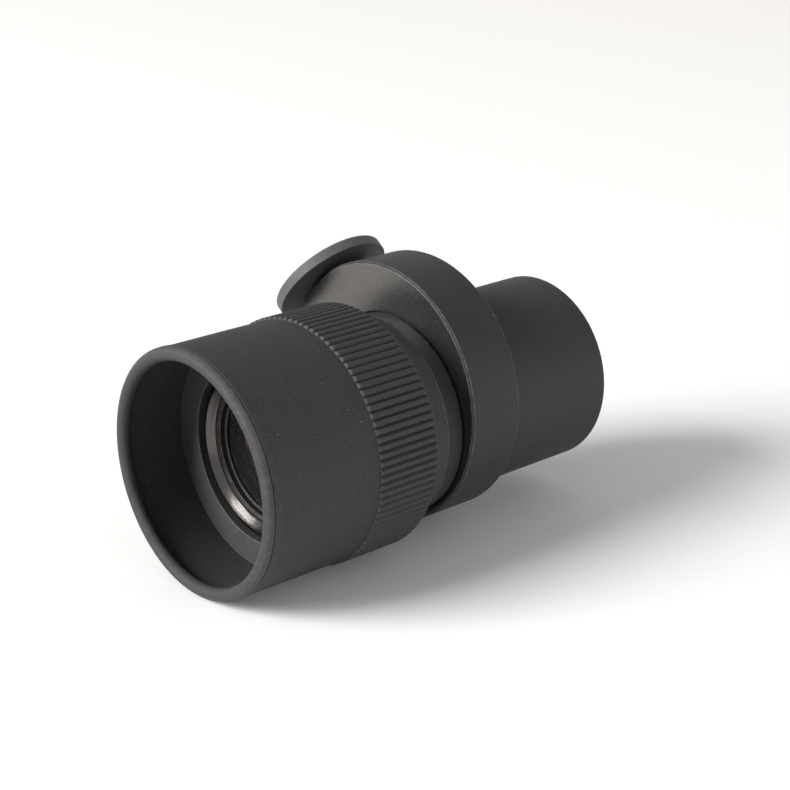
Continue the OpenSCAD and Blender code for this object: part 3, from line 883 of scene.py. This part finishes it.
plate = lathe(
    "reticle_plate",
    outline([(-6, 0, 0), (-6, 10.95, 0.12), (-4.5, 10.95, 0.12), (-4.5, 0, 0)], support=0.2),
    192,
    closed=False,
)
place(plate, OPTICAL, "housing", ["reticle_glass"], MAT["reticle"])

keeper = lathe(
    "reticle_keeper",
    outline(
        [
            (-4.5, 10.95, 0), (-4.5, 9.5, 0), (-4.35, 9.5, 0.05), (-3.6, 10.0, 0.08),
            (-3.6, 10.95, 0.05),
        ],
        steps=3,
        support=0.1,
    ),
)
NOTCH_IN, NOTCH_OUT, NOTCH_HALF = 9, 11.5, 0.7
notches = []
for side in (1, -1):
    inner, outer = side * NOTCH_IN, side * NOTCH_OUT
    corners = [(inner, -NOTCH_HALF), (outer, -NOTCH_HALF), (outer, NOTCH_HALF), (inner, NOTCH_HALF)]
    notches.append(extrude_outline(f"notch_{len(notches)}", corners[::side], -4.05, -3.0))
cut_away(keeper, notches)
place(keeper, OPTICAL, "housing", ["reticle_retainer"], MAT["retainer"])

# ---------------------------------------------------------------- brightness dial

DIAL_R, DIAL_UNDER, DIAL_TOP, SHAFT_R = 10.15, 26.0, 27.8, 2.0
dial = lathe(
    "dial_disc_turned",
    outline(
        [
            (DIAL_UNDER, SHAFT_R, 0.0),
            (DIAL_UNDER, DIAL_R, 0.16),
            (DIAL_TOP, DIAL_R, 0.2),
            (DIAL_TOP, DIAL_R - 1.6, 0.08),
            (DIAL_TOP - 0.25, DIAL_R - 1.85, 0.08),
            (DIAL_TOP - 0.25, SHAFT_R, 0.05),
        ],
        steps=6,
    ),
    224,
)


def capsule(x0, x1, half, steps=10):
    """Points of a bar with round ends, along local X."""
    ends = [(x1, -90), (x0, 90)]
    return [
        (x + half * math.cos(math.radians(a0 + 180 * k / steps)),
         half * math.sin(math.radians(a0 + 180 * k / steps)))
        for x, a0 in ends
        for k in range(steps + 1)
    ]


pointer = extrude_outline("pointer", capsule(5.4, 7.2, 0.3), DIAL_TOP - 0.55, DIAL_TOP + 1)
cut_away(dial, [pointer])
place(dial, DIAL, "dial", ["dial_disc"], MAT["dial"])

SCREW_BASE, SCREW_TOP = 27.1, 27.55
screw = lathe(
    "dial_screw_turned",
    outline(
        [
            (24.2, 0, 0), (24.2, 0.8, 0), (SCREW_BASE, 0.8, 0), (SCREW_BASE, 1.9, 0),
            (SCREW_TOP, 1.9, 0.12), (SCREW_TOP, 0, 0),
        ],
        steps=4,
        support=0.08,
    ),
    96,
    closed=False,
)
SLOT_HALF_L, SLOT_HALF_W, SLOT_DEPTH = 3, 0.25, 0.25
driver_slot = extrude_outline(
    "driver_slot",
    [
        (-SLOT_HALF_L, -SLOT_HALF_W), (SLOT_HALF_L, -SLOT_HALF_W),
        (SLOT_HALF_L, SLOT_HALF_W), (-SLOT_HALF_L, SLOT_HALF_W),
    ],
    SCREW_TOP - SLOT_DEPTH,
    SCREW_TOP + 1.45,
)
cut_away(screw, [driver_slot])
place(screw, DIAL, "dial", ["dial_screw"], MAT["steel"])

# ---------------------------------------------------------------- the CAD nodes that stay

for node, key in {
    "cell_retaining_ring": "brass", "stop_screw": "steel", "guide_screw": "steel",
    "lens_spacer": "black", "reticle_cell": "black", "led": "led", "led_board": "board",
    "battery_cup": "nylon", "battery": "steel", "battery_contact": "brass",
    "dimmer_board": "board", "pocket_bushing": "brass", "dial_shaft": "steel",
    "dial_washer": "nylon", "dial_wiper": "brass",
}.items():
    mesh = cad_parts[node].data
    mesh.materials.clear()
    mesh.materials.append(MAT[key])

# ---------------------------------------------------------------- floor and light

FLOOR_HALF_M = 6
floor_mesh = bpy.data.meshes.new("floor")
bm = bmesh.new()
bmesh.ops.create_grid(bm, x_segments=8, y_segments=8, size=FLOOR_HALF_M)
bm.to_mesh(floor_mesh)
bm.free()
floor = bpy.data.objects.new("floor", floor_mesh)
floor.location = (0, 0, cad_lo.z)
bpy.context.scene.collection.objects.link(floor)
paper = Shader("floor_paper", IOR=1.45)
fibre = paper.noise(0.5, 4, 0.6)
floor_mesh.materials.append(
    paper.finish(
        paper.mix(fibre, (0.86, 0.86, 0.85), (0.9, 0.9, 0.89)),
        paper.ramp(fibre, 0.2, 0.8, 0.75, 0.9),
        paper.bump(paper.noise(1.2, 3, 0.6), 0.02),
    )
)

LEFT = Vector((-math.cos(CAMERA_AZIMUTH), -math.sin(CAMERA_AZIMUTH), 0))
NEAR = Vector((math.sin(CAMERA_AZIMUTH), -math.cos(CAMERA_AZIMUTH), 0))
UP = Vector((0, 0, 1))
TARGET = Vector((-0.015, 0, 0))


def soft_light(name, left, near, up, size, watts, color=(1, 1, 1)):
    """A square light aimed at the object. left, near and up are metres, seen from the camera."""
    data = bpy.data.lights.new(name, "AREA")
    data.shape = "SQUARE"
    data.size = size
    data.energy = watts
    data.color = color
    light = bpy.data.objects.new(name, data)
    light.location = TARGET + LEFT * left + NEAR * near + UP * up
    light.rotation_mode = "QUATERNION"
    light.rotation_quaternion = (TARGET - light.location).to_track_quat("-Z", "Y")
    bpy.context.scene.collection.objects.link(light)


soft_light("key", 2.451, 1.014, 1.398, 1.5, 162.0, (1.0, 0.995, 0.985))
soft_light("fill", -0.75, 0.6, 0.12, 0.6, 4.0)
soft_light("back_warm", -0.3, -0.9, 0.3, 0.5, 0.35, (1.0, 0.6, 0.3))

world = bpy.data.worlds.new("world")
bpy.context.scene.world = world
world.use_nodes = True
background = next(n for n in world.node_tree.nodes if n.type == "BACKGROUND")
background.inputs["Color"].default_value = (0.97, 0.985, 1.0, 1)
# The room is brighter towards its walls than overhead: OVERHEAD + WALLS * (1 - z * z)
OVERHEAD, WALLS = 0.2, 0.42
sky = world.node_tree
direction = sky.nodes.new("ShaderNodeTexCoord")
split = sky.nodes.new("ShaderNodeSeparateXYZ")
square = sky.nodes.new("ShaderNodeMath")
square.operation = "MULTIPLY"
strength = sky.nodes.new("ShaderNodeMath")
strength.operation = "MULTIPLY_ADD"
strength.inputs[1].default_value = -WALLS
strength.inputs[2].default_value = OVERHEAD + WALLS
sky.links.new(direction.outputs["Generated"], split.inputs[0])
sky.links.new(split.outputs[2], square.inputs[0])
sky.links.new(split.outputs[2], square.inputs[1])
sky.links.new(square.outputs[0], strength.inputs[0])
sky.links.new(strength.outputs[0], background.inputs["Strength"])

view = bpy.context.scene.view_settings
view.view_transform = "Standard"
view.look = "None"
